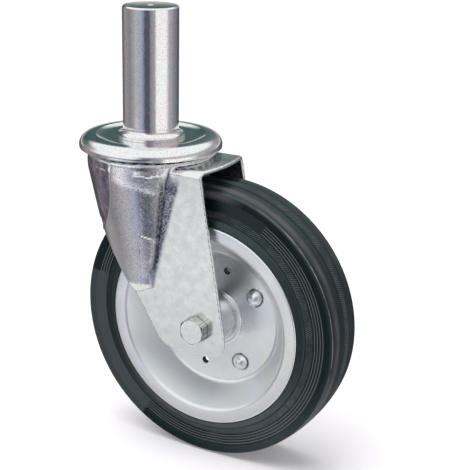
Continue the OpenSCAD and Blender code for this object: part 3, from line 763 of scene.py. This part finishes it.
def makeRivets():
    s = rivetSize
    ball = (s["headR"] ** 2 + s["headH"] ** 2) / (2 * s["headH"])
    low = math.degrees(math.asin((ball - s["headH"]) / ball))
    dome = [(s["headR"] * share, s["discT"] + rise) for share, rise in s["foot"]]
    dome += [(r * s["domeShare"], h) for r, h in arc(0, s["discT"] + s["headH"] - ball, ball, low, 90, 10)]
    outline = [(r, -y) for r, y in reversed(dome)] + dome
    bm = bmesh.new()
    for centre in ringPlaces(s["circle"], s["first"], s["count"]):
        verts = [bm.verts.new(centre + Vector((r, y, 0)) * mm) for r, y in outline]
        edges = [bm.edges.new(pair) for pair in zip(verts, verts[1:])]
        bmesh.ops.spin(bm, geom=verts + edges, cent=centre, axis=(0, 1, 0), dvec=(0, 0, 0),
                       angle=2 * math.pi, steps=40, use_merge=True, use_duplicate=False)
    bmesh.ops.remove_doubles(bm, verts=bm.verts, dist=1e-6)
    piece = finishPiece("rimRivets", bm, wheelZinc, "wheel", ["rim_rivets"], 50)
    # painted shade: the flat collar round each head gets the darker ground-steel finish
    piece.data.materials.append(raceSteel)
    for face in piece.data.polygons:
        if abs(face.center.y) / mm < s["discT"] + 0.5:
            face.material_index = 1


hubSize = {"r": 17.5, "bore": 14.5, "half": 25.9}


def makeHub():
    h = hubSize
    outline = ringSection(h["bore"], h["r"], -h["half"], h["half"], (0.4, 0.8, 0.8, 0.4))
    finishPiece("hubTube", spunOnAxle(outline, 96), wheelZinc, "wheel", ["hub_tube"], 40)


# Tyre: knurled band, fine ribs and bare panels on its sides, and a grooved tread
tyreSize = {"r": 101.5, "treadHalf": 20.0, "drop": 1.6, "crown": 2.2, "shoulder": 4.0, "footR": 56.4,
            "footY": 5.5, "heelR": 66.0, "heelY": 21.0, "seatR": 75.3, "sideY": 22.9, "band": 80.3,
            "bandStep": 0.6, "waist": 17.8, "rib": 86.9, "pitch": 2.1, "ribs": 4, "ribH": 0.55,
            "ribTop": 0.3, "ribFoot": 0.65, "fine": 0.3, "coarse": 1.1, "fineWithin": 1.3, "steps": 432}
# each tread groove: place, width and depth
treadGrooves = ((-1.5, 1.1, 1.1), (10.4, 0.9, 0.8))
# bare panels among the ribs, and gaps between them: bearings in degrees, the rest in millimetres
panelSize = {"topTurn": (60, 120), "topY": 0.5, "gaps": ((275, 3.5), (146, 4)), "leftTurn": (166, 238),
             "leftR": (85.9, 96.5), "leftY": 0.7, "leftSlope": 0.115, "leftStart": 86}


def sideAt(r):
    t = tyreSize
    return t["sideY"] - (t["sideY"] - t["waist"]) * (r - t["seatR"]) / (t["rib"] - t["seatR"])


def tyreHalf():
    t = tyreSize
    ribEnd = t["rib"] + (t["ribs"] - 1) * t["pitch"]
    edge = t["r"] - t["drop"]
    bandIn = t["band"] - t["bandStep"]
    bandOut = t["band"] + t["bandStep"]
    points = [(t["footR"], 0, 0), (t["footR"], t["footY"], 0), (t["heelR"], t["heelY"], 0),
              (t["seatR"], t["heelY"], 0), (t["seatR"], t["sideY"], 0.35), (bandIn, sideAt(bandIn), 0.2),
              (t["band"], sideAt(t["band"]) - t["bandStep"], 0.2), (bandOut, sideAt(bandOut) + 0.1, 0.2)]
    knurlEnd = t["rib"] - 1.2
    for i in range(1, 4):
        r = bandOut + (knurlEnd - bandOut) * i / 4
        points.append((r, sideAt(r) + 0.1, 0))
    points.append((knurlEnd, sideAt(knurlEnd) + 0.05, 0.15))
    for i in range(t["ribs"]):
        r = t["rib"] + i * t["pitch"]
        crest = t["waist"] + t["ribH"]
        points += [(r - t["ribFoot"], t["waist"], 0), (r - t["ribTop"], crest, 0),
                   (r + t["ribTop"], crest, 0), (r + t["ribFoot"], t["waist"], 0)]
    points += [(ribEnd + 1.3, t["waist"] + 0.05, 0), (edge - t["shoulder"] - 0.4, t["treadHalf"] - 0.35, 3),
               (edge, t["treadHalf"], t["shoulder"])]
    return rounded(points, closed=False, arcSteps=4)


def treadHeight(y):
    t = tyreSize
    height = t["r"] - t["drop"] * (abs(y) / t["treadHalf"]) ** t["crown"]
    for place, width, depth in treadGrooves:
        height -= depth * max(0.0, 1 - abs(y - place) / width)
    return height


def tyreOutline():
    t = tyreSize
    half = tyreHalf()
    start = half[-1][1]
    tread = []
    y = -start
    while y < start - t["fine"]:
        nearest = min(abs(y - place) for place, _, _ in treadGrooves)
        y += t["fine"] if nearest < t["fineWithin"] else t["coarse"]
        tread.append((treadHeight(y), y))
    points = [(r, -side) for r, side in half] + tread[:-1] + [(r, side) for r, side in reversed(half)]
    outline = points[:1]
    for last, point in zip(points, points[1:]):
        if (Vector(point) - Vector(last)).length > 0.02:
            outline.append(point)
    if (Vector(outline[0]) - Vector(outline[-1])).length < 0.02:
        outline.pop()
    return outline


def makeTyre():
    t = tyreSize
    p = panelSize
    bm = spunOnAxle(tyreOutline(), t["steps"])
    ribEnd = t["rib"] + (t["ribs"] - 1) * t["pitch"]
    for vert in bm.verts:
        dx = vert.co.x / mm - axleX
        dz = vert.co.z / mm - axleZ
        y = vert.co.y / mm
        if abs(y) <= 15:
            continue
        r = math.hypot(dx, dz)
        angle = math.degrees(math.atan2(dz, dx)) % 360
        side = math.copysign(1, y)
        if t["rib"] - 0.9 < r < ribEnd + 0.9:
            if p["topTurn"][0] < angle < p["topTurn"][1]:
                vert.co.y = side * (t["waist"] + p["topY"]) * mm
            elif any(abs(angle - middle) < half for middle, half in p["gaps"]):
                vert.co.y = side * t["waist"] * mm
        if p["leftTurn"][0] < angle < p["leftTurn"][1] and p["leftR"][0] < r < p["leftR"][1]:
            panel = t["waist"] + p["leftY"] + p["leftSlope"] * (r - p["leftStart"])
            vert.co.y = side * max(abs(y), panel) * mm
    finishPiece("tyreRubber", bm, rubber, "wheel", ["tyre"], 38)


# Bolts, nuts and washers
boltSize = {"flats": 18.0, "headH": 7.5, "shankR": 6.0, "plainEnd": 30.0, "threadStart": 31.0, "end": 45.2,
            "pitch": 1.75, "washerR": 12.0, "washerT": 2.5, "washerGap": 0.25, "nutH": 10.0, "nutGap": 0.05}
kingpinSize = {"flats": 24.0, "nutH": 8.0, "bore": 8.05, "washerR": 15.0, "washerT": 2.5, "washerBore": 8.25,
               "top": -19.7}
hexSize = {"perSide": 12, "turn": 120.0, "faceIn": 0.25, "fall": 0.36, "edge": 0.12, "flatIn": 0.15,
           "mouth": 0.8}


def hexagonBlock(bm, flats, height, toWorld, bore=0.0, bothEnds=False):
    # a hexagon with turned ends: each corner falls away along a cone
    h = hexSize
    count = 6 * h["perSide"]
    half = math.pi / 6
    angles = [2 * math.pi * k / count for k in range(count)]
    reaches = [flats / 2 / math.cos((angle + half) % (2 * half) - half) for angle in angles]
    face = flats / 2 - h["faceIn"]
    drops = [max(0.0, reach - face) * h["fall"] + h["edge"] for reach in reaches]
    turned = [angle + math.radians(h["turn"]) for angle in angles]

    def ring(radii, levels):
        return [bm.verts.new(toWorld(Vector((r * math.cos(angle), r * math.sin(angle), level))))
                for angle, r, level in zip(turned, radii, levels)]

    def evenRing(radius, level):
        return ring([radius] * count, [level] * count)

    lowEnd = ring(reaches, drops if bothEnds else [0.0] * count)
    topEnd = ring(reaches, [height - drop for drop in drops])
    topFace = evenRing(face - h["flatIn"], height)
    chain = ([evenRing(face - h["flatIn"], 0.0)] if bothEnds else []) + [lowEnd, topEnd, topFace]
    if bore:
        chain += [evenRing(bore + h["mouth"], height), evenRing(bore, height - h["mouth"]),
                  evenRing(bore, h["mouth"]), evenRing(bore + h["mouth"], 0.0), chain[0]]
    for a, b in zip(chain, chain[1:]):
        for k in range(count):
            n = (k + 1) % count
            bm.faces.new((a[k], a[n], b[n], b[k]))
    if not bore:
        bm.faces.new(topFace)
        bm.faces.new(list(reversed(chain[0])))


def outOfLeg(side, start):
    # local z runs out of the leg on that side, and local y runs up
    def toWorld(v):
        return Vector((axleX + v.x, side * (start + v.z), axleZ + v.y)) * mm
    return toWorld


def threadedOutline(radius, start, end, pitch):
    outline = []
    count = int((end - start) / pitch * 2)
    for i in range(count):
        outline.append((radius - (pitch * 0.5 if i % 2 else 0.0), start + i * pitch / 2))
    return outline + [(radius - 1.0, end)]


def makeAxleBolt():
    b = boltSize
    alongAxle = Vector((0, 1, 0))
    bm = bmesh.new()
    hexagonBlock(bm, b["flats"], b["headH"], outOfLeg(-1, legFace))
    outline = [(0, -legFace), (b["shankR"], -legFace), (b["shankR"], b["plainEnd"])]
    outline += threadedOutline(b["shankR"], b["threadStart"], b["end"], b["pitch"]) + [(0, b["end"])]
    shank = spunOnAxle(outline, 48, closed=False)
    mesh = bpy.data.meshes.new("shank")
    shank.to_mesh(mesh)
    shank.free()
    bm.from_mesh(mesh)
    bpy.data.meshes.remove(mesh)
    finishPiece("axleBolt", bm, boltZinc, "fork", ["axle_bolt"], 12, flatAxis=alongAxle)

    bm = bmesh.new()
    hexagonBlock(bm, b["flats"], b["nutH"], outOfLeg(1, legFace + b["washerT"]),
                 bore=b["shankR"] + b["nutGap"], bothEnds=True)
    finishPiece("axleNut", bm, boltZinc, "fork", ["axle_nut"], 12, flatAxis=alongAxle)
    washer = ringSection(b["shankR"] + b["washerGap"], b["washerR"], legFace, legFace + b["washerT"],
                         (0, 0.3, 0.5, 0.3))
    finishPiece("axleWasher", spunOnAxle(washer, 72), boltZinc, "fork", ["axle_washer"], 40)


def makeKingpinNut():
    k = kingpinSize
    low = k["top"] - k["washerT"]

    def toWorld(v):
        return Vector((v.x, v.y, collarTop + low - k["nutH"] + v.z)) * mm

    bm = bmesh.new()
    hexagonBlock(bm, k["flats"], k["nutH"], toWorld, bore=k["bore"], bothEnds=True)
    finishPiece("kingpinNut", bm, boltZinc, "head", ["kingpin_nut"], 12, flatAxis=Vector((0, 0, 1)))
    washer = ringSection(k["washerBore"], k["washerR"], low, k["top"], (0.3, 0.4, 0.4, 0.3))
    finishPiece("kingpinWasher", spunOnStem(washer, 72), boltZinc, "head", ["kingpin_washer"], 40)


makeStem()
makeCollar()
print("stem and collar made")
makeFork()
print("fork made")
makeDisc("nearDisc", "near_rim_disc", -1)
makeDisc("farDisc", "far_rim_disc", 1)
makeRivets()
makeHub()
print("wheel discs made")
makeTyre()
print("tyre made")
makeAxleBolt()
makeKingpinNut()
print("fasteners made")

# The inner pieces keep their solids and get their finish
innerFinish = {"upper_balls": raceSteel, "lower_balls": raceSteel, "lower_race": raceSteel,
               "axle_sleeve": raceSteel, "hub_rollers": raceSteel, "near_hub_cap": raceSteel,
               "far_hub_cap": raceSteel, "near_thrust_washer": nylon, "far_thrust_washer": nylon,
               "roller_cage": nylon}
for name, material in innerFinish.items():
    data = nodes[name].data
    data.materials.clear()
    data.materials.append(material)


# Floor, studio and camera
studio = {"floorZ": axleZ - 101.5, "floorR": 40.0, "ambient": 0.50, "floorColour": (0.86, 0.84, 0.88),
          "floorLift": 0.16, "sun": 1.9, "sunAngle": 75.0, "sunTurn": (4, -16, 0)}


def makeFloor():
    bm = bmesh.new()
    bmesh.ops.create_circle(bm, cap_ends=True, segments=96, radius=studio["floorR"],
                            matrix=Matrix.Translation((0, 0, studio["floorZ"] * mm)))
    floor = placed("floorSheet", bm)
    material = bpy.data.materials.new("paperFloor")
    material.use_nodes = True
    material.node_tree.nodes.clear()
    bench = NodeBench(material.node_tree)
    paper = bench.add("BsdfDiffuse", (*studio["floorColour"], 1)).outputs[0]
    lift = bench.add("Emission", (1, 1, 1, 1), studio["floorLift"]).outputs[0]
    lifted = bench.add("AddShader", paper, lift).outputs[0]
    clear = bench.add("BsdfTransparent").outputs[0]
    rays = bench.add("LightPath").outputs
    # the camera sees the paper a little lighter, and mirror-like rays pass through it
    shown = bench.add("MixShader", rays["Is Camera Ray"], paper, lifted).outputs[0]
    bench.add("OutputMaterial", bench.add("MixShader", rays["Is Glossy Ray"], shown, clear).outputs[0])
    floor.data.materials.append(material)


# What the metal mirrors, by compass angle (0 along +X, turning towards +Y) and by height
lowBand = [(-178, (0.324, 0.295, 0.302)), (-149, (0.259, 0.252, 0.266)), (-134, (0.360, 0.346, 0.360)),
           (-119, (0.475, 0.461, 0.468)), (-97, (0.396, 0.418, 0.518)), (-86, (0.245, 0.259, 0.331)),
           (-80, (0.086, 0.094, 0.130)), (-64, (0.101, 0.101, 0.130)), (-56, (0.288, 0.281, 0.302)),
           (-42, (0.374, 0.367, 0.389)), (-33, (0.99, 0.99, 0.98)), (4, (1.0, 1.0, 1.0)),
           (26, (0.418, 0.410, 0.439)), (60, (0.216, 0.216, 0.252)), (90, (0.086, 0.101, 0.115)),
           (125, (0.065, 0.086, 0.086)), (155, (0.130, 0.130, 0.137))]
highBand = [(-180, (0.296, 0.311, 0.303)), (-146, (1.0, 1.0, 0.98)), (-90, (1.0, 1.0, 1.0)),
            (-66, (0.222, 0.192, 0.222)), (-36, (0.518, 0.488, 0.503)), (10, (0.548, 0.540, 0.533)),
            (45, (0.414, 0.392, 0.370)), (75, (0.42, 0.41, 0.40)), (95, (0.32, 0.33, 0.34)),
            (110, (0.17, 0.20, 0.21)), (124, (0.067, 0.118, 0.118)), (140, (0.059, 0.096, 0.104)),
            (160, (0.133, 0.163, 0.163))]
# Brighter and darker patches in that studio
studioPatches = {
    "legWindow": {"from": -131.0, "to": -103.0, "top": -0.235, "low": -0.445, "soft": 40.0,
                  "tone": (0.96, 0.98, 0.99, 1)},
    "tyreWindow": {"from": -113.0, "to": -52.0, "top": -0.315, "low": -0.445, "soft": 30.0,
                   "tone": (0.94, 0.97, 1.0, 1)},
    "horizonGlow": {"from": 62.0, "to": 170.0, "top": 0.15, "low": -0.03, "soft": 14.0,
                    "tone": (0.62, 0.59, 0.55, 1)}}
studioSize = {"horizon": -0.06, "sideSoft": 60.0, "footSoft": 16.0, "toCamera": (0.545, 0.839),
              "ceiling": 0.38, "ceilingTilt": 0.05, "overheadTone": (0.99, 1.0, 0.99, 1),
              "floorHeight": -0.55, "belowTone": (0.88, 0.88, 0.89, 1)}


def turnShare(degrees):
    return (degrees + 180) / 360


def makeStudio():
    s = studioSize
    world = bpy.data.worlds.new("studio")
    bpy.context.scene.world = world
    world.use_nodes = True
    world.node_tree.nodes.clear()
    bench = NodeBench(world.node_tree)

    def band(stops):
        return bench.ramp(compass, [(turnShare(angle), tone) for angle, tone in stops + [(180, stops[0][1])]])

    x, y, height = bench.add("SeparateXYZ", bench.add("TexCoord").outputs["Generated"]).outputs
    compass = bench.math("ADD", bench.math("DIVIDE", bench.math("ARCTAN2", y, x), 2 * math.pi), 0.5)
    tone = bench.mix(bench.rise(height, s["horizon"], 6.0), band(lowBand), band(highBand))
    for patch in studioPatches.values():
        across = bench.product(bench.rise(compass, turnShare(patch["from"]), s["sideSoft"]),
                               bench.rise(compass, turnShare(patch["to"]), -s["sideSoft"]))
        inPatch = bench.product(across, bench.rise(height, patch["top"], -patch["soft"]),
                                bench.rise(height, patch["low"], s["footSoft"]))
        tone = bench.mix(inPatch, tone, patch["tone"])
    # the bright ceiling comes a little lower on the camera's side
    nearness = bench.math("SUBTRACT", bench.product(x, s["toCamera"][0]), bench.product(y, s["toCamera"][1]))
    ceiling = bench.math("SUBTRACT", s["ceiling"], bench.product(nearness, s["ceilingTilt"]))
    overhead = bench.math("MULTIPLY", bench.math("SUBTRACT", height, ceiling), 6.0, clamp=True)
    tone = bench.mix(overhead, tone, s["overheadTone"])
    tone = bench.mix(bench.rise(height, s["floorHeight"], -4.0), tone, s["belowTone"])
    # only mirror-like rays see it; the camera sees white, and the rest an even grey
    rays = bench.add("LightPath").outputs
    mirrored = bench.math("MAXIMUM", rays["Is Glossy Ray"], rays["Is Transmission Ray"])
    ambient = studio["ambient"]
    tone = bench.mix(mirrored, (ambient, ambient, ambient * 1.01, 1), tone)
    tone = bench.mix(rays["Is Camera Ray"], tone, (1.0, 1.0, 1.0, 1))
    bench.add("OutputWorld", bench.add("Background", tone).outputs[0])


def staged(name, data):
    # a lamp or camera, in the scene
    piece = bpy.data.objects.new(name, data)
    bpy.context.scene.collection.objects.link(piece)
    return piece


def addLamp(name, place, size, power, aim):
    lamp = bpy.data.lights.new(name, "AREA")
    lamp.shape = "RECTANGLE"
    lamp.size, lamp.size_y = size
    lamp.energy = power
    piece = staged(name, lamp)
    piece.location = place
    piece.rotation_euler = (Vector(aim) - Vector(place)).to_track_quat("-Z", "Y").to_euler()
    piece.visible_glossy = False


def addSun():
    # a wide sky light: even over the whole floor, with a soft shadow under the wheel
    lamp = bpy.data.lights.new("skyLight", "SUN")
    lamp.energy = studio["sun"]
    lamp.angle = math.radians(studio["sunAngle"])
    piece = staged("skyLight", lamp)
    piece.rotation_euler = [math.radians(angle) for angle in studio["sunTurn"]]
    piece.visible_glossy = False


# The camera fitted to the photograph: place in metres, angles in degrees
cameraSize = {"place": (0.453363, -0.697557, 0.197415), "turn": 28.757, "tilt": 18.56, "roll": 1.18,
              "lens": 90.7, "sensor": 36.0}


def makeCamera():
    c = cameraSize
    camera = bpy.data.cameras.new("photoCamera")
    camera.sensor_width = c["sensor"]
    camera.lens = c["lens"]
    camera.clip_end = 50.0
    turn = Matrix.Rotation(math.radians(c["turn"]), 4, "Z")
    tilt = Matrix.Rotation(math.radians(90 - c["tilt"]), 4, "X")
    roll = Matrix.Rotation(math.radians(c["roll"]), 4, "Z")
    piece = staged("photoCamera", camera)
    piece.matrix_world = Matrix.Translation(c["place"]) @ turn @ tilt @ roll
    bpy.context.scene.camera = piece


makeFloor()
makeStudio()
addSun()
addLamp("topBox", (0.0, -0.25, 0.75), (0.6, 0.6), 2.5, (0.03, 0, -0.08))
makeCamera()
bpy.context.scene.view_settings.view_transform = "Standard"
print("studio made")
